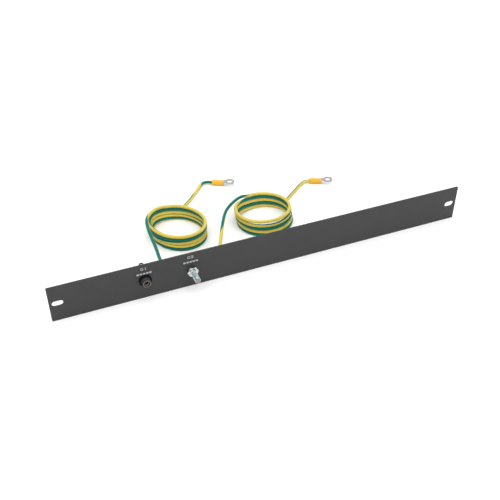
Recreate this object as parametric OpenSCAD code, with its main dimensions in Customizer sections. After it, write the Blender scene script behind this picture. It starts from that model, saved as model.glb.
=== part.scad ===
// Rack grounding panel: a 1U filler plate with a 4 mm grounding jack, a threaded
// clip post and two green and yellow earth leads, each coiled behind the plate.
// X runs along the plate, Y from front to rear, Z up. The origin is at the plate's
// bottom edge, halfway along it and halfway through its thickness.

/* [Panel] */
// Width of the plate across the rack
panel_w = 482.6; // [482.6:0.1:484]
// Height of the plate, one rack unit less its clearance
panel_h = 43.7; // [43.2:0.1:44.4]
// Thickness of the plate
panel_t = 1.6; // [1.2:0.1:2.5]
// Corner radius of the plate
corner_r = 1; // [0.5:0.1:3]
// Distance between the two rack slots
slot_pitch = 465.1; // [464:0.1:466]
// Length of a rack slot, end to end
slot_len = 12; // [9:0.1:13]
// Height of a rack slot
slot_h = 6.8; // [6:0.1:8]

/* [Jack] */
// Distance of the jack from the middle of the plate, towards the left
jack_x = 141.5; // [120:0.5:160]
// Height of the jack above the bottom edge
jack_z = 23.5; // [18:0.5:26]
// Bore that takes the plug
jack_bore_d = 4; // [3.9:0.05:4.2]
// Diameter of the moulded barrel
barrel_d = 9.4; // [8.5:0.1:11]
// Reach of the barrel in front of the plate
barrel_reach = 7.5; // [5:0.1:10]
// Diameter of the moulded flange
flange_d = 13.6; // [12:0.1:16]
// Thickness of the moulded flange
flange_t = 2.4; // [1.5:0.1:3]
// Height of the solder tag's tip above the bottom edge
tag_top_z = 37.5; // [34:0.5:40]

/* [Clip post] */
// Distance of the post from the middle of the plate, towards the left
post_x = 90.5; // [70:0.5:110]
// Diameter of the threaded rod
post_d = 6.35; // [5:0.05:8]
// Length of the threaded rod
post_len = 44.5; // [42:0.5:50]
// Width of its nuts across the flats
nut_af = 11.1; // [10:0.1:13]
// Height of its nuts
nut_h = 5.6; // [4:0.1:6]

/* [Leads] */
// Outside diameter of a lead's insulation
lead_d = 3.8; // [3.5:0.1:3.9]
// Mean radius of the first coil
coil_1_r = 31.5; // [31.2:0.1:31.8]
// Mean radius of the second coil
coil_2_r = 31.3; // [31:0.1:31.6]
// Height of the first coil
coil_1_h = 23; // [20:0.5:24]
// Height of the second coil
coil_2_h = 23; // [20:0.5:24]

/* [Ring terminals] */
// Outside diameter of a terminal's ring
ring_d = 12; // [11:0.1:13]
// Hole in a terminal's ring
ring_hole_d = 6.4; // [5.3:0.1:6.6]
// Thickness of the sheet that a terminal is stamped from
tongue_t = 1; // [0.8:0.1:1.2]
// Length of the moulded sleeve
sleeve_len = 15.5; // [13:0.5:18]
// Diameter of the moulded sleeve
sleeve_d = 7.2; // [6.6:0.1:7.6]

/* [Hidden] */

$fn = 64;
eps = 0.01;
face_y = -panel_t / 2;
back_y = panel_t / 2;
slot_z = panel_h / 2;

// Jack: what stands behind the plate, each item seated on the one before
jack_sleeve_d = 8;
contact_d = 6.2;
contact_recess = 1.2;
contact_floor = 1.6;
jack_stud_d = 4;
jack_washer_t = 1;
jack_nut_t = 3.2;
jack_nut_af = 11;
jack_sleeve_end = 11;
tag_t = 0.8;
spring_t = 1.2;
jack_rear_af = 7;
jack_rear_h = 3.2;
jack_stud_end = 20.5;
tag_y = jack_sleeve_end;
jack_lug_y = tag_y + tag_t;
jack_spring_y = jack_lug_y + tongue_t;
jack_rear_y = jack_spring_y + spring_t;

// Post: the same for its stack
tooth_t = 1;
tooth_count = 10;
clamp_y = back_y + tooth_t;
post_lug_y = clamp_y + nut_h;
post_spring_y = post_lug_y + tongue_t;
post_rear_y = post_spring_y + spring_t;
post_z = slot_z;
post_chamfer = 0.8;
// Inside the nuts the rod has its thread's mean diameter, which the nuts' bores match
post_core_d = post_d - 0.45;
post_clear_d = post_d + 0.25;
thread_gap = 0.5;
post_core_front = face_y - nut_h - thread_gap;
post_core_rear = post_rear_y + nut_h + thread_gap;

// Terminals
barrel_or = 2.6;
wire_r = 1.6;
lug_reach = 14;
lug_barrel_len = 6.5;
crimp_len = 7.5;
sleeve_gap = 7.5;
grip_len = 7;
lead_r = lead_d / 2;
lug_axis = tongue_t + barrel_or - 0.8;
neck_w = 5;
root_slant = 35;

// Route of each free stretch of the leads, as [x, y, z] along its centreline
front_1 = [
  [-127.5, 14.6, 23.5], [-125.8, 14.6, 23.5], [-122.6, 15.4, 23.4], [-119.8, 17.4, 23.2],
  [-118, 20.4, 22.9], [-117.2, 24.4, 22.6], [-116.4, 33, 21.7], [-115.3, 44, 20.9],
  [-114.4, 55, 20.5], [-113.9, 65, 20.4], [-113.5, 75, 20.6], [-113, 85, 21],
  [-111.8, 94.6, 21.5], [-109.9, 103.6, 21.6], [-106, 111.4, 21.3], [-100.2, 118, 21.1],
  [-92.8, 122.8, 20.8], [-85, 125, 20.1]
];
front_2 = [
  [-76.5, 10.2, 21.85], [-70, 10.4, 21.85], [-62, 12.4, 21.6], [-55, 18, 21.2],
  [-49.3, 26, 20.7], [-44, 36.5, 20.2], [-39.2, 47, 19.9], [-34.7, 57, 19.9],
  [-30, 66.5, 20.2], [-25, 76, 20.8], [-20, 84.2, 21.3], [-13.8, 91.8, 21.4],
  [-6.6, 98.6, 21.1], [1.6, 104.6, 21], [10.4, 108.8, 20.7]
];
tail_1 = [
  [-105.3, 100.8, 1.9], [-103, 109.3, 1.9], [-99.4, 116.6, 1.9], [-94.4, 122.6, 1.9],
  [-87.8, 127.4, 1.9], [-79.8, 131.2, 1.9], [-71, 134.2, 1.9], [-61.6, 137.8, 1.9],
  [-52.4, 142.8, 1.9], [-44, 149.8, 1.9], [-36.6, 157.8, 1.9], [-29.8, 165.4, 2],
  [-23.8, 172.2, 2.3], [-19.4, 177.6, 2.8], [-16.2, 180.3, 3.2], [-12.3, 181.2, 3.5],
  [-8.1, 180.4, 3.6], [-3.2, 177.8, 3.6]
];
tail_2 = [
  [-2.9, 87.6, 1.9], [-0.6, 95.8, 1.9], [3.2, 103.4, 1.9], [9.2, 109.8, 1.9],
  [17, 114.4, 1.9], [26.6, 116.4, 1.9], [36.6, 115, 1.9], [45.8, 111, 1.9],
  [54, 107.2, 1.9], [61.8, 105.4, 1.9], [69.6, 107.2, 1.9], [77.5, 113, 1.9],
  [85.5, 119.4, 1.9], [93.5, 125.8, 2.2], [101.5, 131.6, 2.8], [108, 134.2, 3.4],
  [114.6, 133.2, 3.6]
];

// Each coil is a little oval, leans and tapers: its middle at half height, how far its
// long axis stands out from the mean radius, that axis's compass angle, how far the foot
// is set off from the middle, and how much less than the mean the foot's radius is
coil_1_at = [-76.4, 91.8];
coil_1_oval = 2.4;
coil_1_oval_deg = 118;
coil_1_lean = [0.5, 0];
coil_1_taper = 0.5;
coil_2_at = [27.4, 79.8];
coil_2_oval = 1.4;
coil_2_oval_deg = 0;
coil_2_lean = [1.3, -0.9];
coil_2_taper = -0.2;
coil_steps = 60;
coil_sides = 12;
end_1_turn = -27.6;
end_2_turn = -23;

function unit(v) = v / norm(v);

// Direction of a route at its point i
function heading(route, i) =
  unit(route[min(i + 1, len(route) - 1)] - route[max(i - 1, 0)]);

// Ring of points round a route at its point i, never turned about the route
function route_ring(route, i, r, sides) =
  let (
    ahead = heading(route, i),
    side = unit(cross(ahead, [0, 0, 1])),
    up = cross(side, ahead)
  )
  [for (k = [0:sides - 1]) route[i] + r * (cos(360 * k / sides) * side + sin(360 * k / sides) * up)];

// Round tube along a route
module route_tube(route, r, sides = 8) {
  rings = len(route);
  points = [for (i = [0:rings - 1]) each route_ring(route, i, r, sides)];
  walls = [
    for (i = [0:rings - 2], k = [0:sides - 1])
      let (a = i * sides + k, b = i * sides + (k + 1) % sides)
      each [[a, b, a + sides], [b, b + sides, a + sides]]
  ];
  near_cap = [[for (k = [sides - 1:-1:0]) k]];
  far_cap = [[for (k = [0:sides - 1]) (rings - 1) * sides + k]];
  polyhedron(points, concat(near_cap, walls, far_cap), convexity = 6);
}

// Places a shape drawn along +Z so that it points out of the plate's front
module forwards(x, y, z) {
  translate([x, y, z]) rotate([90, 0, 0]) children();
}

// Places a shape drawn along +Z so that it points out of the plate's rear
module rearwards(x, y, z) {
  translate([x, y, z]) rotate([-90, 0, 0]) children();
}

// Flat plate outline in the XZ plane with round corners
module plate_outline() {
  for (sx = [-1, 1], sz = [0, 1])
    translate([sx * (panel_w / 2 - corner_r), corner_r + sz * (panel_h - 2 * corner_r)])
      circle(corner_r);
  translate([-panel_w / 2, corner_r]) square([panel_w, panel_h - 2 * corner_r]);
  translate([-panel_w / 2 + corner_r, 0]) square([panel_w - 2 * corner_r, panel_h]);
}

module slot_outline() {
  reach = (slot_len - slot_h) / 2;
  for (s = [-1, 1]) translate([s * reach, 0]) circle(d = slot_h);
  square([2 * reach, slot_h], center = true);
}

module panel() {
  color([0.16, 0.16, 0.17])
    translate([0, back_y, 0]) rotate([90, 0, 0]) linear_extrude(panel_t) difference() {
      plate_outline();
      for (s = [-1, 1]) translate([s * slot_pitch / 2, slot_z]) slot_outline();
      translate([-jack_x, jack_z]) circle(d = jack_sleeve_d);
      translate([-post_x, post_z]) circle(d = post_clear_d);
    }
}

// Hexagonal nut along +Z, its corners turned down at both faces
module hex_nut(af, h, hole_d) {
  corner = af / cos(30) / 2;
  bevel = 0.12 * af;
  drop = bevel * tan(30);
  difference() {
    intersection() {
      cylinder(r = corner, h = h, $fn = 6);
      rotate_extrude() polygon([
        [0, 0], [corner - bevel, 0], [corner, drop], [corner, h - drop],
        [corner - bevel, h], [0, h]
      ]);
    }
    translate([0, 0, -eps]) cylinder(d = hole_d, h = h + 2 * eps);
  }
}

// Spring washer along +Z: a ring with a slanted cut through it
module spring_washer(outer_d, hole_d) {
  difference() {
    cylinder(d = outer_d, h = spring_t);
    translate([0, 0, -eps]) cylinder(d = hole_d, h = spring_t + 2 * eps);
    translate([outer_d / 4 + hole_d / 8, 0, spring_t / 2]) rotate([25, 0, 0])
      cube([outer_d / 2, 0.6, 3 * spring_t], center = true);
  }
}

// Moulded barrel and flange in front, clamped sleeve behind
module jack_housing() {
  reach = barrel_reach;
  back = jack_sleeve_end - face_y;
  color([0.06, 0.06, 0.07]) forwards(-jack_x, face_y, jack_z) rotate_extrude() polygon([
    [contact_d / 2, -back], [jack_sleeve_d / 2 - 0.4, -back], [jack_sleeve_d / 2, -back + 0.4],
    [jack_sleeve_d / 2, 0], [flange_d / 2 - 0.2, 0], [flange_d / 2, 0.2],
    [flange_d / 2, flange_t - 0.7], [flange_d / 2 - 0.7, flange_t], [barrel_d / 2 + 0.4, flange_t],
    [barrel_d / 2, flange_t + 0.4], [barrel_d / 2, reach - 0.6], [barrel_d / 2 - 0.6, reach],
    [contact_d / 2 + 0.5, reach], [contact_d / 2, reach - 0.5]
  ]);
}

// Socket tube with the stud that carries the tag and the lead at its rear
module jack_contact() {
  mouth = barrel_reach - contact_recess;
  root = -(jack_sleeve_end - face_y);
  tip = -(jack_stud_end - face_y);
  bore_r = jack_bore_d / 2;
  stud_r = jack_stud_d / 2;
  color([0.78, 0.58, 0.28]) forwards(-jack_x, face_y, jack_z) rotate_extrude() polygon([
    [0, tip], [stud_r - 0.4, tip], [stud_r, tip + 0.4], [stud_r, root], [contact_d / 2, root],
    [contact_d / 2, mouth], [bore_r + 0.4, mouth], [bore_r, mouth - 0.4],
    [bore_r, root + contact_floor], [0, root + contact_floor]
  ]);
}

module jack_washer() {
  color([0.08, 0.08, 0.08]) rearwards(-jack_x, back_y, jack_z) difference() {
    cylinder(d = flange_d - 0.6, h = jack_washer_t);
    translate([0, 0, -eps]) cylinder(d = jack_sleeve_d, h = jack_washer_t + 2 * eps);
  }
}

module jack_lock_nut() {
  color([0.72, 0.72, 0.7]) rearwards(-jack_x, back_y + jack_washer_t, jack_z)
    hex_nut(jack_nut_af, jack_nut_t, jack_sleeve_d);
}

// Eyelet on the jack's stud with an upright blade, pierced near its round tip
module jack_solder_tag() {
  eye_d = 8.4;
  blade_w = 5;
  tip_h = tag_top_z - jack_z - blade_w / 2;
  color([0.66, 0.65, 0.62]) translate([-jack_x, tag_y + tag_t, jack_z]) rotate([90, 0, 0])
    linear_extrude(tag_t) difference() {
      union() {
        circle(d = eye_d);
        translate([-blade_w / 2, 0]) square([blade_w, tip_h]);
        translate([0, tip_h]) circle(d = blade_w);
      }
      circle(d = jack_stud_d);
      translate([0, tip_h]) circle(d = 1.8);
    }
}

module jack_spring_washer() {
  color([0.7, 0.7, 0.7]) rearwards(-jack_x, jack_spring_y, jack_z)
    spring_washer(7.4, jack_stud_d);
}

module jack_rear_nut() {
  color([0.78, 0.78, 0.76]) rearwards(-jack_x, jack_rear_y, jack_z)
    hex_nut(jack_rear_af, jack_rear_h, jack_stud_d);
}

module post_stud() {
  r = post_d / 2;
  core_r = post_core_d / 2;
  core_from = post_len / 2 - post_core_rear;
  core_to = post_len / 2 - post_core_front;
  color([0.78, 0.8, 0.79]) forwards(-post_x, post_len / 2, post_z) rotate_extrude() polygon([
    [0, 0], [r - post_chamfer, 0], [r, post_chamfer], [r, core_from], [core_r, core_from],
    [core_r, core_to], [r, core_to], [r, post_len - post_chamfer],
    [r - post_chamfer, post_len], [0, post_len]
  ]);
}

module post_front_nut() {
  color([0.82, 0.83, 0.82]) forwards(-post_x, face_y, post_z)
    hex_nut(nut_af, nut_h, post_core_d);
}

// Washer whose teeth bite through the paint into the plate
module post_tooth_washer() {
  rim_d = 9.6;
  tooth_w = 1.7;
  tooth_reach = 6.2;
  color([0.7, 0.71, 0.7]) rearwards(-post_x, back_y, post_z) difference() {
    union() {
      cylinder(d = rim_d, h = tooth_t);
      for (k = [0:tooth_count - 1]) rotate(360 * k / tooth_count)
        translate([rim_d / 2 - 1, -tooth_w / 2, 0]) cube([tooth_reach - rim_d / 2 + 1, tooth_w, tooth_t]);
    }
    translate([0, 0, -eps]) cylinder(d = post_clear_d, h = tooth_t + 2 * eps);
  }
}

module post_clamp_nut() {
  color([0.8, 0.81, 0.8]) rearwards(-post_x, clamp_y, post_z)
    hex_nut(nut_af, nut_h, post_core_d);
}

module post_spring_washer() {
  color([0.7, 0.7, 0.7]) rearwards(-post_x, post_spring_y, post_z)
    spring_washer(10.6, post_clear_d);
}

module post_rear_nut() {
  color([0.8, 0.81, 0.8]) rearwards(-post_x, post_rear_y, post_z)
    hex_nut(nut_af, nut_h, post_core_d);
}

// Terminal stamped from sheet: a ring and tongue in the XY plane with the ring's
// centre at the origin, and a rolled barrel along +X whose mouth is at mouth_x.
// The barrel's root is cut on a slant, where the sheet opens out into the tongue.
module stamped_terminal(eye_d, hole_d, mouth_x, barrel_len) {
  root_x = mouth_x - barrel_len;
  difference() {
    union() {
      cylinder(d = eye_d, h = tongue_t);
      translate([0, -neck_w / 2, 0]) cube([root_x + 1.5, neck_w, tongue_t]);
      translate([root_x, 0, lug_axis]) rotate([0, 90, 0]) cylinder(r = barrel_or, h = barrel_len);
    }
    translate([0, 0, -eps]) cylinder(d = hole_d, h = tongue_t + 2 * eps);
    translate([root_x - 1, 0, lug_axis]) rotate([0, 90, 0]) cylinder(r = wire_r, h = barrel_len + 2);
    translate([root_x, 0, tongue_t + 0.4]) rotate([0, root_slant, 0]) translate([-6, -4, 0])
      cube([6, 8, 8]);
  }
}

// Bare lug on a stud behind the plate, its barrel towards +X
module rear_lug(x, y, z, hole_d, eye_d) {
  color([0.75, 0.75, 0.74]) rearwards(x, y, z)
    stamped_terminal(eye_d, hole_d, lug_reach, lug_barrel_len);
}

// Places a shape that runs along +X at the end of a route, towards a bearing
module at_end(route, bearing) {
  translate(route[len(route) - 1]) rotate(bearing) children();
}

// Stamped terminal beyond a route's end, flat side up
module far_terminal(route, bearing) {
  reach = sleeve_len + sleeve_gap;
  color([0.76, 0.76, 0.76]) at_end(route, bearing) translate([reach, 0, lug_axis])
    rotate([180, 0, 180]) stamped_terminal(ring_d, ring_hole_d, reach - grip_len, crimp_len);
}

// Moulded sleeve: gripped round the metal barrel, belled where the lead goes in
module far_sleeve(route, bearing) {
  r = sleeve_d / 2;
  color([0.95, 0.68, 0.14]) at_end(route, bearing) rotate([0, 90, 0]) rotate_extrude() polygon([
    [lead_r, 0], [r - 0.7, 0], [r - 0.15, 0.9], [r, 2.2], [r, 6.2], [r - 0.25, 7.4],
    [r - 0.25, sleeve_len - 0.4], [r - 0.65, sleeve_len], [barrel_or, sleeve_len],
    [barrel_or, grip_len], [lead_r, grip_len]
  ]);
}

// Bare conductor along +X, from inside the insulation's end to bare_len beyond it
module bare_end(bare_len) {
  rotate([0, 90, 0]) translate([0, 0, -1]) cylinder(r = wire_r, h = bare_len + 1);
}

// Free stretch of a lead between its lug and its coil
module lead_front(route) {
  color([0.1, 0.56, 0.5]) {
    route_tube(route, lead_r);
    translate(route[0]) mirror([1, 0, 0]) bare_end(lug_barrel_len + 0.8);
  }
}

// Free stretch of a lead between its coil and its far terminal's crimp
module lead_tail(route, bearing) {
  ahead = [cos(bearing), sin(bearing), 0];
  gripped = concat(route, [route[len(route) - 1] + grip_len * ahead]);
  color([0.72, 0.64, 0.16]) {
    route_tube(gripped, lead_r);
    at_end(gripped, bearing) bare_end(crimp_len + 0.6);
  }
}

// Outer shape of the turns of one coil: an oval wall one lead thick, rounded at its
// top and foot, swept as a closed ring of sections
module coil(at, r, h, oval, oval_deg, lean, taper) {
  points = [
    for (i = [0:coil_steps - 1], k = [0:coil_sides - 1])
      let (
        compass = 360 * i / coil_steps,
        tilt = 360 * (k + 0.5) / coil_sides,
        level = sin(tilt) > 0 ? 1 : -1,
        middle_z = level > 0 ? h - lead_r : lead_r,
        bulge = oval * cos(2 * (compass - oval_deg)),
        reach = r + bulge + level * taper + lead_r * cos(tilt)
      )
      [
        at[0] - level * lean[0] + reach * cos(compass),
        at[1] - level * lean[1] + reach * sin(compass),
        middle_z + lead_r * sin(tilt)
      ]
  ];
  walls = [
    for (i = [0:coil_steps - 1], k = [0:coil_sides - 1])
      let (
        near = i * coil_sides,
        far = (i + 1) % coil_steps * coil_sides,
        next = (k + 1) % coil_sides
      )
      each [[near + k, near + next, far + k], [near + next, far + next, far + k]]
  ];
  color([0.85, 0.76, 0.3]) polyhedron(points, walls, convexity = 6);
}

panel();
jack_housing();
jack_contact();
jack_washer();
jack_lock_nut();
jack_solder_tag();
jack_spring_washer();
jack_rear_nut();
post_stud();
post_front_nut();
post_tooth_washer();
post_clamp_nut();
post_spring_washer();
post_rear_nut();
rear_lug(-jack_x, jack_lug_y, jack_z, jack_stud_d, 9);  // lead_1_lug
lead_front(front_1);  // lead_1_front
coil(coil_1_at, coil_1_r, coil_1_h, coil_1_oval, coil_1_oval_deg, coil_1_lean, coil_1_taper);  // lead_1_coil
lead_tail(tail_1, end_1_turn);  // lead_1_tail
far_terminal(tail_1, end_1_turn);  // lead_1_terminal
far_sleeve(tail_1, end_1_turn);  // lead_1_sleeve
rear_lug(-post_x, post_lug_y, post_z, post_clear_d, ring_d);  // lead_2_lug
lead_front(front_2);  // lead_2_front
coil(coil_2_at, coil_2_r, coil_2_h, coil_2_oval, coil_2_oval_deg, coil_2_lean, coil_2_taper);  // lead_2_coil
lead_tail(tail_2, end_2_turn);  // lead_2_tail
far_terminal(tail_2, end_2_turn);  // lead_2_terminal
far_sleeve(tail_2, end_2_turn);  // lead_2_sleeve
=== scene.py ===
"""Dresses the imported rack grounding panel: leads, finishes, threads, marks, light and camera.

All lengths in the route lists and size classes are millimetres; what goes into a mesh is metres.
"""

import logging
import math
from dataclasses import dataclass, field
from enum import Enum

import bpy
import numpy as np
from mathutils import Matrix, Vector

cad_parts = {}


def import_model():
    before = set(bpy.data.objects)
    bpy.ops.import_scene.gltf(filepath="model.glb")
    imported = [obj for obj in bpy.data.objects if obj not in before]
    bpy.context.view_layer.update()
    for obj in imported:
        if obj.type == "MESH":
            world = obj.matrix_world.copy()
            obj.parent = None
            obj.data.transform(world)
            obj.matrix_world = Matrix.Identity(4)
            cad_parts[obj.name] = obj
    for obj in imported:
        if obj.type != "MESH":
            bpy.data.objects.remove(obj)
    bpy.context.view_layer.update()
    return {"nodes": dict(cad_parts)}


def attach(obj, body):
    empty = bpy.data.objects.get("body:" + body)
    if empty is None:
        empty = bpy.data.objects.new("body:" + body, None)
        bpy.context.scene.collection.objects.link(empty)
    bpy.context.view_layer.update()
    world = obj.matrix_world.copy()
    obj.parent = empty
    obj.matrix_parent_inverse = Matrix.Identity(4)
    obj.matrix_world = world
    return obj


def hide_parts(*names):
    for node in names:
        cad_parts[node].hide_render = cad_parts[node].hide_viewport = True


LOG = logging.getLogger("grounding_panel")
MM = 0.001
ROOT = "root"


# ---------------------------------------------------------------- sizes and finishes


class Finish(Enum):
    """Names of the procedural materials."""

    POWDER_COAT = "powder_coat"
    MOULDED_BLACK = "moulded_black"
    BRASS = "brass_turned"
    ZINC = "zinc_bright"
    NICKEL = "nickel_satin"
    TINNED = "tinned_copper"
    COPPER = "copper_strand"
    INSULATION = "lead_insulation"
    VINYL = "vinyl_sleeve"
    INK = "panel_ink"
    HOUSING = "jack_barrel"
    CONTACT = "jack_contact"
    STUD = "threaded_stud"


@dataclass(frozen=True)
class Coat:
    """What one painted or moulded surface looks like.

    Attributes:
        colour: Base colour, linear.
        roughness: Mean roughness.
        spread: How far the roughness wanders from its mean.
        grain: Size of the surface's grain, in millimetres.
        relief: Height of the grain, in millimetres.
        coat: Weight of the clear layer on top.
        specular: How strongly the surface mirrors light.
        bands: (Y in millimetres, colour) pairs; in front of that Y the colour takes over.
    """

    colour: tuple
    roughness: float
    spread: float = 0.05
    grain: float = 0.5
    relief: float = 0.01
    coat: float = 0.0
    specular: float = 0.5
    bands: tuple = ()


@dataclass(frozen=True)
class Plate:
    """What one metal surface looks like.

    Attributes:
        colour: Reflectance head on, linear.
        cast: The second tint that the plating wanders to.
        roughness: Mean roughness.
        streak: Width of the tool marks, in millimetres.
        relief: Depth of the tool marks, in millimetres.
        end: Optional (Y in millimetres, colour) of the painted shade in front of that Y, made less metallic.
        outside: Optional (x, z, radius, Y, colour) of the painted shade outside that radius
            and in front of that Y, in millimetres.
        groove_shade: Optional (x, z, radius, colour) of the painted shade darkening the thread roots inside
            that radius.
    """

    colour: tuple
    cast: tuple
    roughness: float
    streak: float = 0.25
    relief: float = 0.004
    end: tuple = None
    outside: tuple = None
    groove_shade: tuple = None


COATS = {
    Finish.POWDER_COAT: Coat((0.035, 0.035, 0.036), 0.55, 0.06, 0.45, 0.012, specular=0.3),
    Finish.MOULDED_BLACK: Coat((0.004, 0.004, 0.005), 0.55, 0.08, 0.25, 0.004, specular=0.05),
    Finish.HOUSING: Coat(
        (0.004, 0.004, 0.005), 0.55, 0.08, 0.25, 0.004, specular=0.05,
        # In front of Y -3.3 the barrel is a lighter grey; in front of Y -8.1 the rim's bluish grey is a painted
        # highlight of light caught on its edge.
        bands=((-3.3, (0.045, 0.045, 0.048)), (-8.1, (0.12, 0.13, 0.15))),
    ),
    Finish.VINYL: Coat((0.72, 0.39, 0.025), 0.42, 0.06, 0.9, 0.006, 0.0, specular=0.3),
    Finish.INK: Coat((0.40, 0.40, 0.41), 0.6, 0.05, 0.2, 0.002, specular=0.3),
}
PLATES = {
    Finish.BRASS: Plate((0.80, 0.56, 0.24), (0.70, 0.44, 0.16), 0.24),
    Finish.ZINC: Plate((0.84, 0.87, 0.86), (0.26, 0.30, 0.31), 0.2, streak=0.6),
    Finish.NICKEL: Plate((0.50, 0.49, 0.46), (0.36, 0.35, 0.33), 0.3),
    Finish.TINNED: Plate((0.42, 0.42, 0.43), (0.28, 0.28, 0.29), 0.3),
    Finish.COPPER: Plate((0.90, 0.50, 0.32), (0.80, 0.40, 0.24), 0.30),
    Finish.STUD: Plate(
        (0.72, 0.80, 0.79), (0.34, 0.42, 0.43), 0.2, streak=0.6,
        # The end tint is painted shade on the stud's end face.
        # The groove tint is painted shade in the thread roots.
        end=(-21.6, (0.24, 0.21, 0.19)), groove_shade=(-90.5, 21.85, 2.85, (0.10, 0.12, 0.12)),
    ),
    Finish.CONTACT: Plate(
        (0.72, 0.50, 0.20), (0.62, 0.38, 0.14), 0.3,
        # The outside tint is painted shade, dark red-brown, on the contact's front face recessed in the jack's
        # mouth.
        outside=(-141.5, 23.5, 2.15, -5.5, (0.045, 0.010, 0.008)),
    ),
}


@dataclass(frozen=True)
class InsulationLook:
    """Colours of the two-colour lead insulation, linear."""

    yellow: tuple = (0.63, 0.495, 0.085)
    green: tuple = (0.0005, 0.152, 0.120)
    roughness: float = 0.36
    seam: float = 0.06


@dataclass(frozen=True)
class LeadSizes:
    """Sizes shared by both leads, in millimetres."""

    diameter: float = 3.8
    sides: int = 20
    step: float = 1.4
    conductor_r: float = 1.6
    strand_r: float = 0.31
    lug_bare: float = 7.3
    grip: float = 7.0
    crimp_bare: float = 8.1


@dataclass(frozen=True)
class Coil:
    """One coil of a lead, wound down from its top turn and clockwise as seen from above.

    Each turn lies level for most of its way and drops one pitch in a short ramp, where the
    lower turns also draw in a little to let the lead leave beside them.

    Attributes:
        centre: Middle of the coil at half its height, x and y.
        radius: Mean radius of the turns.
        oval: How far the long axis stands out from the mean radius.
        oval_deg: Compass angle of the long axis.
        lean: How far the foot is set off from the middle, x and y.
        taper: How much less than the mean the foot's radius is.
        start_deg: Compass angle, anticlockwise from +X, where the first turn begins.
        turns: How many turns the coil has.
        lift: How far the turns spring up, as (turn, height) pairs.
        bottom: Height of the last turn's centreline.
        pitch: Height from one turn to the next.
        levels: How many levels the turns lie on.
        ramp_deg: Compass angle of the middle of the ramps.
        ramp_half_deg: Angle from there to either end of a ramp.
        flare: How far the top turn stands out at its ramp, and the last one draws in.
        steps: Points in each turn.
    """

    centre: tuple
    radius: float
    oval: float
    oval_deg: float
    lean: tuple
    taper: float
    start_deg: float
    turns: float
    lift: tuple
    bottom: float = 1.9
    pitch: float = 3.95
    levels: int = 5
    ramp_deg: float = 112
    ramp_half_deg: float = 38
    flare: float = 0.6
    steps: int = 36


@dataclass(frozen=True)
class Lead:
    """One earth lead from its lug to its far terminal.

    Attributes:
        name: What the piece is called.
        front: Route from the lug to the coil.
        coil: The coil.
        tail: Route from the coil to the sleeve.
        bearing: Heading of the sleeve, in degrees from +X.
        twist: (turn number, band angle in degrees) pairs; the angle says which way
            the middle of the yellow band faces, from outward over to up.
    """

    name: str
    front: tuple
    coil: Coil
    tail: tuple
    bearing: float
    twist: tuple = ()


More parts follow.
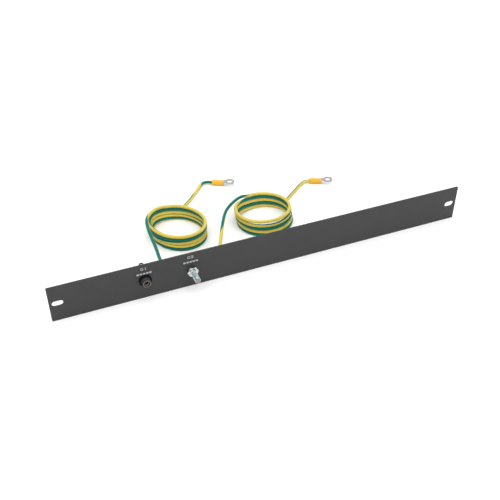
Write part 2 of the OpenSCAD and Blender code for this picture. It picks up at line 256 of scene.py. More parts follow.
LEADS = (
    Lead(
        name="lead_1",
        front=(
            (-127.5, 14.6, 23.5), (-125.8, 14.6, 23.5), (-122.6, 15.4, 23.4), (-119.8, 17.4, 23.2),
            (-118, 20.4, 22.9), (-117.2, 24.4, 22.6), (-116.4, 33, 21.7), (-115.3, 44, 20.9),
            (-114.4, 55, 20.5), (-113.9, 65, 20.4), (-113.5, 75, 20.6), (-113, 85, 21),
            (-111.8, 94.6, 21.5), (-109.9, 103.6, 21.6), (-106, 111.4, 21.3),
            (-100.2, 118, 21.1), (-92.8, 122.8, 20.8), (-85, 125, 20.1),
        ),
        coil=Coil(
            centre=(-76.4, 91.8), radius=31.5, oval=2.4, oval_deg=118, lean=(0.5, 0), taper=0.5,
            start_deg=92, turns=4.755, ramp_deg=112,
            lift=((0, 1.2), (0.12, 0.9), (0.5, 2.4), (0.76, 1.2), (0.86, 0), (1.04, 0.4),
                  (1.5, 1.8), (2, 0), (2.5, 1.2), (3, 0), (3.5, 0.6), (4, 0), (5, 0)),
        ),
        tail=(
            (-105.3, 100.8, 1.9), (-103, 109.3, 1.9), (-99.4, 116.6, 1.9), (-94.4, 122.6, 1.9),
            (-87.8, 127.4, 1.9), (-79.8, 131.2, 1.9), (-71, 134.2, 1.9), (-61.6, 137.8, 1.9),
            (-52.4, 142.8, 1.9), (-44, 149.8, 1.9), (-36.6, 157.8, 1.9), (-29.8, 165.4, 2),
            (-23.8, 172.2, 2.3), (-19.4, 177.6, 2.8), (-16.2, 180.3, 3.2), (-12.3, 181.2, 3.5),
            (-8.1, 180.4, 3.6), (-3.2, 177.8, 3.6),
        ),
        bearing=-27.6,
        twist=(
            (-0.7, 244), (-0.24, 232), (-0.1, 135), (0.05, 142), (0.5, 38), (1, -38),
            (1.5, -160), (2, -218), (2.5, -370), (3, -578), (3.5, -682), (4, -798),
            (4.5, -862), (5, -890), (5.3, -888), (5.4, -960), (5.48, -1080), (5.8, -1090),
        ),
    ),
    Lead(
        name="lead_2",
        front=(
            (-76.5, 10.2, 21.85), (-70, 10.4, 21.85), (-62, 12.4, 21.6), (-55, 18, 21.2),
            (-49.3, 26, 20.7), (-44, 36.5, 20.2), (-39.2, 47, 19.9), (-34.7, 57, 19.9),
            (-30, 66.5, 20.2), (-25, 76, 20.8), (-20, 84.2, 21.3), (-13.8, 91.8, 21.4),
            (-6.6, 98.6, 21.1), (1.6, 104.6, 21), (10.4, 108.8, 20.7),
        ),
        coil=Coil(
            centre=(26.9, 79.2), radius=31.2, oval=1.2, oval_deg=0, lean=(1.2, -0.7), taper=0,
            start_deg=104, turns=4.79, ramp_deg=128,
            lift=((0, 1.7), (0.12, 1.2), (0.54, 2.6), (0.79, 1.6), (0.9, 0.8), (1.04, 1),
                  (2.04, 0.6), (3.04, 0.3), (4.04, 0), (5, 0)),
        ),
        tail=(
            (-2.9, 87.6, 1.9), (-0.6, 95.8, 1.9), (3.2, 103.4, 1.9), (9.2, 109.8, 1.9),
            (17, 114.4, 1.9), (26.6, 116.4, 1.9), (36.6, 115, 1.9), (45.8, 111, 1.9),
            (54, 107.2, 1.9), (61.8, 105.4, 1.9), (69.6, 107.2, 1.9), (77.5, 113, 1.9),
            (85.5, 119.4, 1.9), (93.5, 125.8, 2.2), (101.5, 131.6, 2.8), (108, 134.2, 3.4),
            (114.6, 133.2, 3.6),
        ),
        bearing=-23,
        twist=(
            (-0.75, 60), (-0.5, 75), (-0.36, 235), (-0.06, 285), (0.06, 135), (0.54, 38),
            (0.8, 80), (0.88, 75), (1.02, -38), (1.54, -46), (2.04, 142), (2.54, 218), (3.04, 322), (3.54, 398),
            (4.04, 502), (4.54, 578), (5.1, 548), (5.7, 548),
        ),
    ),
)


# ---------------------------------------------------------------- shader building


class Expr:
    """A socket in a node tree that takes part in arithmetic."""

    def __init__(self, graph, socket):
        self.graph = graph
        self.socket = socket

    def _math(self, operation, *others):
        return self.graph.math(operation, self, *others)

    def __add__(self, other):
        return self._math("ADD", other)

    def __radd__(self, other):
        return self.graph.math("ADD", other, self)

    def __sub__(self, other):
        return self._math("SUBTRACT", other)

    def __rsub__(self, other):
        return self.graph.math("SUBTRACT", other, self)

    def __mul__(self, other):
        return self._math("MULTIPLY", other)

    def __rmul__(self, other):
        return self.graph.math("MULTIPLY", other, self)

    def __truediv__(self, other):
        return self._math("DIVIDE", other)

    def clamp(self):
        """Returns the value held between 0 and 1."""
        return self.graph.make("ShaderNodeClamp", Value=self)


class Graph:
    """One material's node tree, with short ways to build it."""

    def __init__(self, finish):
        """Starts a material with a Principled shader and its output.

        Args:
            finish: The Finish that names the material.
        """
        self.material = bpy.data.materials.new(finish.value)
        self.material.use_nodes = True
        self.tree = self.material.node_tree
        self.tree.nodes.clear()
        self.shader = self.tree.nodes.new("ShaderNodeBsdfPrincipled")
        output = self.tree.nodes.new("ShaderNodeOutputMaterial")
        self.tree.links.new(self.shader.outputs[0], output.inputs["Surface"])

    def feed(self, socket, value):
        """Links or sets one input socket.

        Args:
            socket: The input socket.
            value: An Expr, a number or a tuple.
        """
        if isinstance(value, Expr):
            self.tree.links.new(value.socket, socket)
        elif isinstance(value, tuple) and len(value) == 3 and len(socket.default_value) == 4:
            socket.default_value = (*value, 1)
        else:
            socket.default_value = value

    def make(self, kind, pick=0, props=None, **inputs):
        """Adds any node.

        Args:
            kind: The node's type name.
            pick: Index or name of the output to return.
            props: Node properties, by name.
            **inputs: Input values, with _ for a space in a socket's name.

        Returns:
            The picked output as an Expr.
        """
        node = self.tree.nodes.new(kind)
        for key, value in (props or {}).items():
            setattr(node, key, value)
        for key, value in inputs.items():
            self.feed(node.inputs[key.replace("_", " ")], value)
        return Expr(self, node.outputs[pick])

    def math(self, operation, *values):
        """Adds a Math node.

        Returns:
            Its result as an Expr.
        """
        node = self.tree.nodes.new("ShaderNodeMath")
        node.operation = operation
        for socket, value in zip(node.inputs, values):
            self.feed(socket, value)
        return Expr(self, node.outputs[0])

    def point(self):
        """Returns the shaded point in Object coordinates, which are metres in the frame."""
        return self.make("ShaderNodeTexCoord", pick="Object")

    def axes(self):
        """Returns the shaded point's x, y and z, in millimetres."""
        parts = self.tree.nodes.new("ShaderNodeSeparateXYZ")
        self.feed(parts.inputs[0], self.point())
        return [Expr(self, out) / MM for out in parts.outputs]

    def in_front(self, limit, blur=0.15):
        """Returns 1 where Y is below limit, in millimetres, and 0 elsewhere."""
        return 1 - self.ramp(self.axes()[1], limit - blur, limit + blur)

    def beyond_radius(self, x, z, radius, blur=0.1):
        """Returns 1 outside a cylinder along Y, in millimetres, and 0 inside it."""
        at_x, _, at_z = self.axes()
        away = self.math("SQRT", (at_x - x) * (at_x - x) + (at_z - z) * (at_z - z))
        return self.ramp(away, radius - blur, radius + blur)

    def noise(self, where, size_mm, detail=3.0, roughness=0.5):
        """Adds a noise with features about size_mm wide.

        Returns:
            Its 0 to 1 value as an Expr.
        """
        return self.make(
            "ShaderNodeTexNoise", Vector=where, Scale=1 / (size_mm * MM), Detail=detail,
            Roughness=roughness,
        )

    def ramp(self, value, low, high):
        """Returns value mapped from low..high to a smooth 0..1."""
        return self.make(
            "ShaderNodeMapRange", props={"interpolation_type": "SMOOTHSTEP"}, Value=value,
            **{"From Min": low, "From Max": high},
        )

    def mix(self, factor, a, b):
        """Returns colour a turning into colour b as factor goes from 0 to 1."""
        node = self.tree.nodes.new("ShaderNodeMix")
        node.data_type = "RGBA"
        self.feed(node.inputs[0], factor)
        self.feed(node.inputs[6], a)
        self.feed(node.inputs[7], b)
        return Expr(self, node.outputs[2])

    def relief(self, height, depth_mm):
        """Feeds a Bump of the given depth into the shader's normal."""
        bump = self.make("ShaderNodeBump", Height=height, Strength=1.0, Distance=depth_mm * MM)
        self.feed(self.shader.inputs["Normal"], bump)

    def set(self, **inputs):
        """Sets or links the Principled shader's inputs."""
        for key, value in inputs.items():
            self.feed(self.shader.inputs[key.replace("_", " ")], value)


def coat_material(finish, look):
    """Builds a painted or moulded surface.

    Args:
        finish: Its Finish.
        look: Its Coat.

    Returns:
        The material.
    """
    g = Graph(finish)
    where = g.point()
    grain = g.noise(where, look.grain, detail=4)
    cloud = g.noise(where, 40 * look.grain, detail=2)
    dark = tuple(0.88 * c for c in look.colour)
    light = tuple(min(1.0, 1.08 * c) for c in look.colour)
    colour = g.mix(cloud, dark, light)
    # A band may be painted highlight, as the jack barrel's rim is.
    for limit, beyond in look.bands:
        colour = g.mix(g.in_front(limit), colour, beyond)
    g.set(
        Base_Color=colour,
        Roughness=(look.roughness - look.spread) + 2 * look.spread * grain,
        Coat_Weight=look.coat,
        Specular_IOR_Level=look.specular,
    )
    g.relief(grain, look.relief)
    return g.material


def plate_material(finish, look):
    """Builds a plated or bare metal surface with fine tool marks.

    Args:
        finish: Its Finish.
        look: Its Plate.

    Returns:
        The material.
    """
    g = Graph(finish)
    where = g.point()
    cloud = g.noise(where, 6 * look.streak, detail=3, roughness=0.6)
    marks = g.noise(where, look.streak, detail=4, roughness=0.65)
    colour = g.mix(g.ramp(cloud, 0.35, 0.65), look.colour, look.cast)
    # Painted shade: the thread roots inside that radius are darkened.
    if look.groove_shade:
        x, z, radius, root = look.groove_shade
        colour = g.mix(g.beyond_radius(x, z, radius, 0.2), root, colour)
    # Painted shade: the stud's end face and the contact's recessed front face are darkened and made less
    # metallic.
    painted_shade = None
    if look.end:
        limit, tint = look.end
        painted_shade = g.in_front(limit)
    elif look.outside:
        x, z, radius, limit, tint = look.outside
        painted_shade = g.beyond_radius(x, z, radius) * g.in_front(limit)
    if painted_shade is not None:
        colour = g.mix(painted_shade, colour, tint)
    g.set(
        Base_Color=colour,
        Metallic=1.0 if painted_shade is None else 1 - 0.8 * painted_shade,
        Roughness=(look.roughness - 0.06) + 0.14 * marks,
    )
    g.relief(marks, look.relief)
    return g.material


def insulation_material(look):
    """Builds the insulation's two long bands from the lead's own UV map.

    Its U is 0.5 plus half the cosine of the angle from the middle of the yellow band,
    and its V is the distance along the lead in metres.

    Args:
        look: The InsulationLook.

    Returns:
        The material.
    """
    g = Graph(Finish.INSULATION)
    uv = g.make("ShaderNodeUVMap", props={"uv_map": "band"})
    parts = g.tree.nodes.new("ShaderNodeSeparateXYZ")
    g.feed(parts.inputs[0], uv)
    across = Expr(g, parts.outputs[0])
    where = g.point()
    drift = g.noise(where, 30, detail=2)
    haze = g.noise(where, 1.2, detail=3)
    edge = 0.5 + 0.05 * (drift - 0.5)
    side = g.ramp(across - edge, -look.seam / 2, look.seam / 2)
    yellow = g.mix(drift, tuple(0.94 * c for c in look.yellow), look.yellow)
    green = g.mix(drift, tuple(0.88 * c for c in look.green), look.green)
    g.set(
        Base_Color=g.mix(side, green, yellow),
        Roughness=(look.roughness - 0.04) + 0.1 * haze,
        Specular_IOR_Level=0.12,
    )
    g.relief(haze, 0.008)
    return g.material


def build_materials():
    """Builds every material.

    Returns:
        A dict from Finish to material.
    """
    made = {f: coat_material(f, look) for f, look in COATS.items()}
    made.update({f: plate_material(f, look) for f, look in PLATES.items()})
    made[Finish.INSULATION] = insulation_material(InsulationLook())
    return made


# ---------------------------------------------------------------- meshes


@dataclass
class GridMesh:
    """A surface made of a grid of points, rows by columns.

    Attributes:
        name: What the piece is called.
        points: Array of shape (rows, columns, 3), in metres.
        wrap: Whether the last column joins the first.
        caps: Whether the first and last rows are closed with a face.
        uv: Optional array of shape (rows, columns, 2).
        uv_name: Name of the UV map.
    """

    name: str
    points: np.ndarray
    wrap: bool = True
    caps: bool = True
    uv: np.ndarray = None
    uv_name: str = "band"
    faces: list = field(default_factory=list)

    def _quads(self):
        rows, cols = self.points.shape[:2]
        last = cols if self.wrap else cols - 1
        i, j = np.meshgrid(np.arange(rows - 1), np.arange(last), indexing="ij")
        k = (j + 1) % cols
        quads = np.stack([i * cols + j, i * cols + k, (i + 1) * cols + k, (i + 1) * cols + j], -1)
        return quads.reshape(-1, 4)

    def surface(self):
        """Returns its vertices and faces; the caps, if any, are the last two faces."""
        rows, cols = self.points.shape[:2]
        faces = self._quads().tolist()
        if self.caps:
            faces.append(list(range(cols - 1, -1, -1)))
            faces.append([(rows - 1) * cols + c for c in range(cols)])
        return self.points.reshape(-1, 3).tolist(), faces

    def build(self, material):
        """Makes the Blender object.

        Args:
            material: The material of the whole piece.

        Returns:
            The object, linked to the scene.
        """
        vertices, faces = self.surface()
        obj = make_piece(self.name, vertices, faces, material, lambda face: len(face) == 4)
        if self.uv is not None:
            mesh = obj.data
            layer = mesh.uv_layers.new(name=self.uv_name)
            corner = np.zeros(len(mesh.loops), dtype=np.int32)
            mesh.loops.foreach_get("vertex_index", corner)
            layer.data.foreach_set("uv", self.uv.reshape(-1, 2)[corner].astype(np.float32).ravel())
        return obj


def make_piece(name, vertices, faces, material, is_smooth):
    """Makes one Blender object.

    Args:
        name: What the piece is called.
        vertices: Its points, in metres.
        faces: Its faces, as lists of point numbers.
        material: The material of the whole piece.
        is_smooth: Says of one face whether it is shaded smooth.

    Returns:
        The object, linked to the scene.
    """
    mesh = bpy.data.meshes.new(name)
    mesh.from_pydata(vertices, [], faces)
    mesh.materials.append(material)
    mesh.polygons.foreach_set("use_smooth", [is_smooth(face) for face in faces])
    mesh.validate()
    mesh.update()
    obj = bpy.data.objects.new(name, mesh)
    bpy.context.scene.collection.objects.link(obj)
    LOG.info("%s: %d faces", name, len(faces))
    return obj


def join_surfaces(surfaces):
    """Returns several (vertices, faces) as one."""
    vertices, faces = [], []
    for more_vertices, more_faces in surfaces:
        first = len(vertices)
        vertices += more_vertices
        faces += [[first + v for v in face] for face in more_faces]
    return vertices, faces


def unit(vectors):
    """Returns each vector divided by its length."""
    return vectors / np.linalg.norm(vectors, axis=-1, keepdims=True)


def spline(points, step):
    """Runs a smooth curve through points.

    Args:
        points: Array of shape (n, 3).
        step: Distance between the points returned.

    Returns:
        Array of points along a centripetal Catmull-Rom curve, evenly spaced.
    """
    points = np.asarray(points, float)
    ends = [2 * points[0] - points[1], 2 * points[-1] - points[-2]]
    p = np.vstack([ends[0], points, ends[1]])
    pieces = []
    for a, b, c, d in zip(p, p[1:], p[2:], p[3:]):
        t = np.cumsum([0] + [max(np.linalg.norm(v), 1e-6) ** 0.5 for v in (b - a, c - b, d - c)])
        u = np.linspace(t[1], t[2], 12, endpoint=False)[:, None]
        ab = ((t[1] - u) * a + (u - t[0]) * b) / (t[1] - t[0])
        bc = ((t[2] - u) * b + (u - t[1]) * c) / (t[2] - t[1])
        cd = ((t[3] - u) * c + (u - t[2]) * d) / (t[3] - t[2])
        abc = ((t[2] - u) * ab + (u - t[0]) * bc) / (t[2] - t[0])
        bcd = ((t[3] - u) * bc + (u - t[1]) * cd) / (t[3] - t[1])
        pieces.append(((t[2] - u) * abc + (u - t[1]) * bcd) / (t[2] - t[1]))
    fine = np.vstack(pieces + [points[-1]])
    along = np.concatenate([[0], np.cumsum(np.linalg.norm(np.diff(fine, axis=0), axis=1))])
    even = np.linspace(0, along[-1], max(2, int(round(along[-1] / step)) + 1))
    return np.stack([np.interp(even, along, fine[:, k]) for k in range(3)], 1)


def ease(x):
    """Returns x held to 0..1 and smoothed at both ends."""
    x = np.clip(x, 0, 1)
    return x * x * (3 - 2 * x)


def smooth_table(x, pairs):
    """Looks x up in (x, y) pairs, easing from each y to the next."""
    xs, ys = np.array(pairs, float).T
    i = np.clip(np.searchsorted(xs, x, side="right") - 1, 0, len(xs) - 2)
    return ys[i] + (ys[i + 1] - ys[i]) * ease((x - xs[i]) / (xs[i + 1] - xs[i]))


# ---------------------------------------------------------------- leads


def coil_points(coil):
    """Works out a coil's centreline.

    Args:
        coil: The Coil.

    Returns:
        Array of points, first to last turn, in millimetres.
    """
    turn = np.linspace(0, coil.turns, int(coil.turns * coil.steps) + 1)
    compass = coil.start_deg - 360 * turn
    past_ramp = (coil.ramp_deg + coil.ramp_half_deg - compass) / 360
    first = math.ceil(past_ramp[0])
    drops = np.zeros_like(turn)
    for k in range(first, first + coil.levels - 1):
        drops += ease((past_ramp - k) * 180 / coil.ramp_half_deg)
    height = coil.bottom + coil.pitch * (coil.levels - 1 - drops) + smooth_table(turn, coil.lift)
    off_ramp = np.abs((compass - coil.ramp_deg + 180) % 360 - 180)
    near = ease(1 - off_ramp / (1.4 * coil.ramp_half_deg)) * (turn > 0.5)
    span = coil.pitch * (coil.levels - 1)
    level = np.clip(2 * (height - coil.bottom) / span - 1, -1, 1)
    bulge = coil.oval * np.cos(2 * np.radians(compass - coil.oval_deg))
    radius = coil.radius + bulge + level * (coil.taper + coil.flare * near)
    x = coil.centre[0] - level * coil.lean[0] + radius * np.cos(np.radians(compass))
    y = coil.centre[1] - level * coil.lean[1] + radius * np.sin(np.radians(compass))
    return np.stack([x, y, height], 1)


@dataclass
class LeadBuilder:
    """Makes one lead's insulation and its bare ends.

    Attributes:
        lead: The Lead.
        sizes: The LeadSizes.
        materials: Dict from Finish to material.
    """

    lead: Lead
    sizes: LeadSizes
    materials: dict

    def route(self):
        """Returns the lead's centreline and its turn number at each point.

        The turn number is 0 where the coil starts and counts on into the tail;
        along the front it is negative.
        """
        coil = coil_points(self.lead.coil)
        tail = np.array(self.lead.tail, float)
        heading = math.radians(self.lead.bearing)
        grip = tail[-1] + self.sizes.grip * np.array([math.cos(heading), math.sin(heading), 0])
        line = spline(np.vstack([self.lead.front, coil, tail, grip]), self.sizes.step)
        gaps = np.linalg.norm(np.diff(line, axis=0), axis=1)
        along = np.concatenate([[0], np.cumsum(gaps)])
        start = np.argmin(np.linalg.norm(line - coil[0], axis=1))
        turn = (along - along[start]) / (2 * math.pi * self.lead.coil.radius)
        return line, along, turn

    def insulation(self):
        """Builds the insulation as one tube with its bands' UV map.

        Returns:
            The object, its centreline in metres and its length in metres.
        """
        line, along, turn = self.route()
        sides = self.sizes.sides
        ahead = unit(np.gradient(line, axis=0))
        out = unit(np.cross([0, 0, 1], ahead))
        up = np.cross(ahead, out)
        angle = np.linspace(0, 2 * math.pi, sides, endpoint=False)
        ring = np.cos(angle)[None, :, None] * out[:, None] + np.sin(angle)[None, :, None] * up[:, None]
        points = (line[:, None] + self.sizes.diameter / 2 * ring) * MM
        band = np.radians(smooth_table(turn, self.lead.twist))
        u = 0.5 + 0.5 * np.cos(angle[None, :] - band[:, None])
        v = np.repeat((along * MM)[:, None], sides, 1)
        grid = GridMesh(f"{self.lead.name}_insulation", points, uv=np.stack([u, v], -1))
        return grid.build(self.materials[Finish.INSULATION]), line * MM, along[-1] * MM

    def declare(self):
        """Returns:
            The insulation object.
        """
        obj, line, length = self.insulation()
        name = self.lead.name
        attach(obj, ROOT)
        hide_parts(f"{name}_front", f"{name}_coil", f"{name}_tail")
        tuple(line[0])
        self.strands(f"{name}_lug_strands", line[0] / MM, [-1, 0, 0], self.sizes.lug_bare)
        heading = math.radians(self.lead.bearing)
        ahead = [math.cos(heading), math.sin(heading), 0]
        self.strands(f"{name}_far_strands", line[-1] / MM, ahead, self.sizes.crimp_bare)
        LOG.info("%s is %.3f m long", name, length)
        return obj

    def strands(self, name, start, ahead, reach, lay=17.0, sides=8):
        """Builds the bare twisted strands at one end of the lead.

        Args:
            name: What the piece is called.
            start: Where the insulation ends, in millimetres.
            ahead: Unit vector away from the insulation.
            reach: How far the strands stand out, in millimetres.
            lay: Length of one twist, in millimetres.
            sides: Sides of one strand.
        """
        ahead = np.array(ahead, float)
        out = unit(np.cross([0, 0, 1], ahead))
        up = np.cross(ahead, out)
        along = np.linspace(-1.5, reach, 14)
        angle = np.linspace(0, 2 * math.pi, sides, endpoint=False)
        places = [(0, 0)] + [
            (2 * layer * 0.32, 2 * math.pi * k / (6 * layer)) for layer in (1, 2) for k in range(6 * layer)
        ]
        ring = np.cos(angle)[:, None] * out + np.sin(angle)[:, None] * up
        surfaces = []
        for away, turned in places:
            at = turned + 2 * math.pi * along / lay
            middle = (
                np.asarray(start) + along[:, None] * ahead
                + away * (np.cos(at)[:, None] * out + np.sin(at)[:, None] * up)
            )
            points = (middle[:, None] + self.sizes.strand_r * ring[None]) * MM
            surfaces.append(GridMesh(name, points).surface())
        vertices, faces = join_surfaces(surfaces)
        obj = make_piece(
            name, vertices, faces, self.materials[Finish.COPPER], lambda face: len(face) == 4
        )
        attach(obj, ROOT)


# ---------------------------------------------------------------- threads and marks


@dataclass(frozen=True)
class Thread:
    """One threaded rod along Y, in millimetres.

    Attributes:
        x: Where its axis stands.
        z: Where its axis stands.
        front: Y of its front end.
        rear: Y of its rear end.
        crest_r: Radius over the crests.
        depth: Depth from crest to root.
        pitch: Distance from crest to crest.
        chamfer: Length of the bevel at either end.
        plain: Y from and to where it is smooth, inside the nuts.
        plain_r: Its radius there.
    """

    x: float
    z: float
    front: float
    rear: float
    crest_r: float
    depth: float
    pitch: float
    chamfer: float
    plain: tuple
    plain_r: float

    def surface(self, columns=48, rows_per_pitch=12):
        """Returns the rod's vertices in metres and its faces."""
        rows = int((self.rear - self.front) / self.pitch * rows_per_pitch) + 1
        y = np.linspace(self.front, self.rear, rows)[:, None]
        angle = np.linspace(0, 2 * math.pi, columns, endpoint=False)[None, :]
        phase = (y / self.pitch - angle / (2 * math.pi)) % 1
        flank = np.clip(1.6 * np.abs(2 * phase - 1) - 0.2, 0, 1)
        radius = self.crest_r - self.depth * flank
        inside = (y > self.plain[0]) & (y < self.plain[1])
        radius = np.where(inside, self.plain_r, radius)
        bevel = self.crest_r - self.chamfer + np.minimum(y - self.front, self.rear - y)
        radius = np.minimum(radius, bevel)
        x = self.x + radius * np.sin(angle)
        z = self.z + radius * np.cos(angle)
        points = np.stack([x, np.broadcast_to(y, x.shape), z], -1) * MM
        return GridMesh("rod", points).surface()


POST_THREAD = Thread(
    x=-90.5, z=21.85, front=-22.25, rear=22.25, crest_r=3.175, depth=0.78, pitch=1.27,
    chamfer=0.8, plain=(-6.9, 15.7), plain_r=2.95,
)


@dataclass(frozen=True)
class Ridge:
    """The thread ridge round the jack's short stud, in millimetres."""

    x: float = -141.5
    z: float = 23.5
    front: float = 17.4
    rear: float = 19.9
    root_r: float = 1.9
    crest_r: float = 2.12
    pitch: float = 0.7

    def surface(self, steps=24):
        """Returns the ridge as a closed helical bar."""
        turns = (self.rear - self.front) / self.pitch
        along = np.linspace(0, 1, int(turns * steps) + 1)
        angle = 2 * math.pi * turns * along
        y = self.front + (self.rear - self.front) * along
        corners = ((self.root_r, -0.28), (self.crest_r, 0.0), (self.root_r, 0.28))
        rings = [
            np.stack([self.x + r * np.sin(angle), y + dy, self.z + r * np.cos(angle)], 1)
            for r, dy in corners
        ]
        return GridMesh("ridge", np.stack(rings, 1) * MM).surface()


BARS = {
    "0": ((0, 0, 0, 1), (1, 0, 1, 1), (0, 0, 1, 0), (0, 1, 1, 1)),
    "1": ((0.5, 0, 0.5, 1),),
    "2": ((0, 1, 1, 1), (1, 0.5, 1, 1), (0, 0.5, 1, 0.5), (0, 0, 0, 0.5), (0, 0, 1, 0)),
}


@dataclass(frozen=True)
class Mark:
    """A plain number over a row of dashes, printed on the plate's face, in millimetres."""

    number: str
    x: float
    number_z: float
    dash_z: float
    wide: float = 2.2
    high: float = 2.6
    space: float = 1.6
    stroke: float = 0.75
    dashes: int = 5
    dash: tuple = (2.5, 1.9)
    dash_step: float = 3.4

    def slabs(self):
        """Returns (x from, x to, z from, z to) of every bar."""
        half = self.stroke / 2
        step = self.wide + self.space
        first = self.x - (step * (len(self.number) - 1) + self.wide) / 2
        found = []
        for k, digit in enumerate(self.number):
            for x0, z0, x1, z1 in BARS[digit]:
                left, low = first + k * step, self.number_z - self.high / 2
                found.append((
                    left + x0 * self.wide - half, left + x1 * self.wide + half,
                    low + z0 * self.high - half, low + z1 * self.high + half,
                ))
        for k in range(self.dashes):
            middle = self.x + (k - (self.dashes - 1) / 2) * self.dash_step
            found.append((
                middle - self.dash[0] / 2, middle + self.dash[0] / 2,
                self.dash_z - self.dash[1] / 2, self.dash_z + self.dash[1] / 2,
            ))
        return found

    def surface(self, back=-0.79, front=-0.83):
        """Returns the bars as one set of thin closed slabs."""
        parts = []
        for x0, x1, z0, z1 in self.slabs():
            outline = [(x0, z0), (x0, z1), (x1, z1), (x1, z0)]
            rows = [[(x, y, z) for x, z in outline] for y in (front, back)]
            parts.append(GridMesh("bar", np.array(rows) * MM).surface())
        return join_surfaces(parts)


MARKS = (
    Mark("01", x=-141.9, number_z=38.4, dash_z=32.2),
    Mark("02", x=-91.2, number_z=38.6, dash_z=32.4),
)


def add_fine_forms(materials):
    """Makes the threads and the printed marks.

    Args:
        materials: Dict from Finish to material.
    """
    stud = make_piece(
        "post_thread", *POST_THREAD.surface(), materials[Finish.STUD], lambda face: len(face) == 4
    )
    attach(stud, ROOT)
    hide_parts("post_stud")
    ridge = make_piece(
        "jack_stud_thread", *Ridge().surface(), materials[Finish.BRASS], lambda face: False
    )
    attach(ridge, ROOT)
    for mark in MARKS:
        print_on = make_piece(
            f"mark_{mark.number}", *mark.surface(), materials[Finish.INK], lambda face: False
        )
        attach(print_on, ROOT)


# ---------------------------------------------------------------- finishes on the CAD nodes

NODE_FINISH = {
    "panel": Finish.POWDER_COAT,
    "jack_housing": Finish.HOUSING,
    "jack_contact": Finish.CONTACT,
    "jack_washer": Finish.MOULDED_BLACK,
    "jack_lock_nut": Finish.NICKEL,
    "jack_solder_tag": Finish.TINNED,
    "jack_spring_washer": Finish.NICKEL,
    "jack_rear_nut": Finish.NICKEL,
    "post_front_nut": Finish.ZINC,
    "post_tooth_washer": Finish.NICKEL,
    "post_clamp_nut": Finish.ZINC,
    "post_spring_washer": Finish.NICKEL,
    "post_rear_nut": Finish.ZINC,
    "lead_1_lug": Finish.TINNED,
    "lead_1_terminal": Finish.TINNED,
    "lead_1_sleeve": Finish.VINYL,
    "lead_2_lug": Finish.TINNED,
    "lead_2_terminal": Finish.TINNED,
    "lead_2_sleeve": Finish.VINYL,
}


def dress_nodes(frame, materials):
    """Gives each CAD node that stays in view its material.

    Args:
        materials: Dict from Finish to material.
    """
    for name, finish in NODE_FINISH.items():
        mesh = frame["nodes"][name].data
        mesh.materials.clear()
        mesh.materials.append(materials[finish])


# ---------------------------------------------------------------- stage


@dataclass(frozen=True)
class Shot:
    """Where the camera stands and looks, in millimetres and degrees."""

    target: tuple = (-10.0, 32.5, 0.0)
    azimuth: float = -22.33
    elevation: float = 38.01
    distance: float = 852.2
    lens: float = 53.61


def add_camera(shot):
    """Makes the scene's camera.

    Args:
        shot: The Shot.
    """
    azimuth, elevation = math.radians(shot.azimuth), math.radians(shot.elevation)
    back = Vector((
        math.sin(azimuth) * math.cos(elevation),
        -math.cos(azimuth) * math.cos(elevation),
        math.sin(elevation),
    ))
    data = bpy.data.cameras.new("camera")
    data.lens = shot.lens
    camera = bpy.data.objects.new("camera", data)
    camera.location = (Vector(shot.target) + back * shot.distance) * MM
    camera.rotation_euler = (-back).to_track_quat("-Z", "Y").to_euler()
    bpy.context.scene.collection.objects.link(camera)
    bpy.context.scene.camera = camera


@dataclass(frozen=True)
class Softbox:
    """One area light: where it stands, what it faces, its size and its power."""

    name: str
    place: tuple
    aim: tuple
    size: float
    power: float


SOFTBOXES = (
    Softbox("key", (-0.35, -0.3, 1.5), (-0.02, 0.05, 0.0), 2.2, 21.0),
    Softbox("fill", (0.7, -1.0, 0.9), (0.0, 0.05, 0.0), 1.4, 6.0),
    Softbox("rim", (0.3, 1.1, 1.2), (0.0, 0.05, 0.0), 1.4, 2.5),
)


def add_lights():
    """Makes the softboxes."""
    for box in SOFTBOXES:
        data = bpy.data.lights.new(box.name, "AREA")
        data.shape = "DISK"
        data.size = box.size
        data.energy = box.power
        light = bpy.data.objects.new(box.name, data)
        light.location = box.place
        aim = Vector(box.aim) - Vector(box.place)
        light.rotation_euler = aim.to_track_quat("-Z", "Y").to_euler()
        bpy.context.scene.collection.objects.link(light)


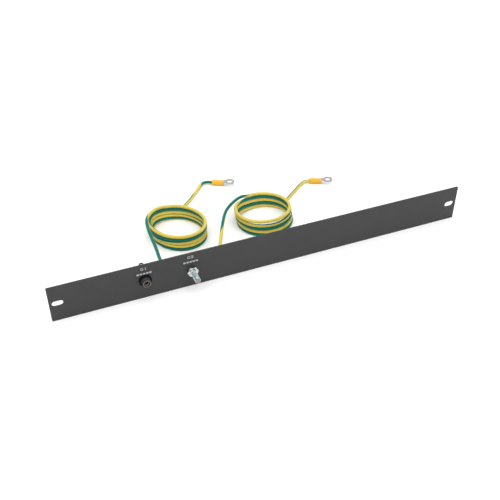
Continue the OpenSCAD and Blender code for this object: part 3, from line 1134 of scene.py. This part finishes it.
def add_world(strength=0.74):
    """Makes the world: white to the camera and in reflections, soft white light besides."""
    world = bpy.data.worlds.new("studio")
    bpy.context.scene.world = world
    world.use_nodes = True
    tree = world.node_tree
    tree.nodes.clear()
    path = tree.nodes.new("ShaderNodeLightPath")
    seen = tree.nodes.new("ShaderNodeMath")
    seen.operation = "ADD"
    seen.use_clamp = True
    more = tree.nodes.new("ShaderNodeMath")
    more.operation = "ADD"
    more.use_clamp = True
    tree.links.new(path.outputs["Is Camera Ray"], seen.inputs[0])
    tree.links.new(path.outputs["Is Glossy Ray"], seen.inputs[1])
    tree.links.new(seen.outputs[0], more.inputs[0])
    tree.links.new(path.outputs["Is Transmission Ray"], more.inputs[1])
    soft = tree.nodes.new("ShaderNodeBackground")
    soft.inputs["Color"].default_value = (1, 1, 1, 1)
    soft.inputs["Strength"].default_value = strength
    white = tree.nodes.new("ShaderNodeBackground")
    white.inputs["Color"].default_value = (1, 1, 1, 1)
    white.inputs["Strength"].default_value = 1.0
    mix = tree.nodes.new("ShaderNodeMixShader")
    output = tree.nodes.new("ShaderNodeOutputWorld")
    tree.links.new(more.outputs[0], mix.inputs[0])
    tree.links.new(soft.outputs[0], mix.inputs[1])
    tree.links.new(white.outputs[0], mix.inputs[2])
    tree.links.new(mix.outputs[0], output.inputs[0])


def add_floor():
    """Makes the plain pale floor."""
    mesh = bpy.data.meshes.new("floor")
    half = 3.0
    mesh.from_pydata([(-half, -half, 0), (half, -half, 0), (half, half, 0), (-half, half, 0)], [],
                     [(0, 1, 2, 3)])
    material = bpy.data.materials.new("floor_white")
    material.use_nodes = True
    shader = material.node_tree.nodes["Principled BSDF"]
    shader.inputs["Base Color"].default_value = (0.93, 0.93, 0.93, 1)
    shader.inputs["Roughness"].default_value = 0.9
    mesh.materials.append(material)
    floor = bpy.data.objects.new("floor", mesh)
    bpy.context.scene.collection.objects.link(floor)


def set_view():
    """Sets plain colour management."""
    scene = bpy.context.scene
    scene.view_settings.view_transform = "Standard"
    scene.view_settings.look = "None"


def main():
    """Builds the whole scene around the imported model."""
    logging.basicConfig(level=logging.INFO, format="%(name)s: %(message)s")
    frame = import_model()
    set_view()
    add_camera(Shot())
    materials = build_materials()
    dress_nodes(frame, materials)
    sizes = LeadSizes()
    for lead in LEADS:
        LeadBuilder(lead, sizes, materials).declare()
    add_fine_forms(materials)
    add_floor()
    add_lights()
    add_world()


if __name__ == "__main__":
    main()
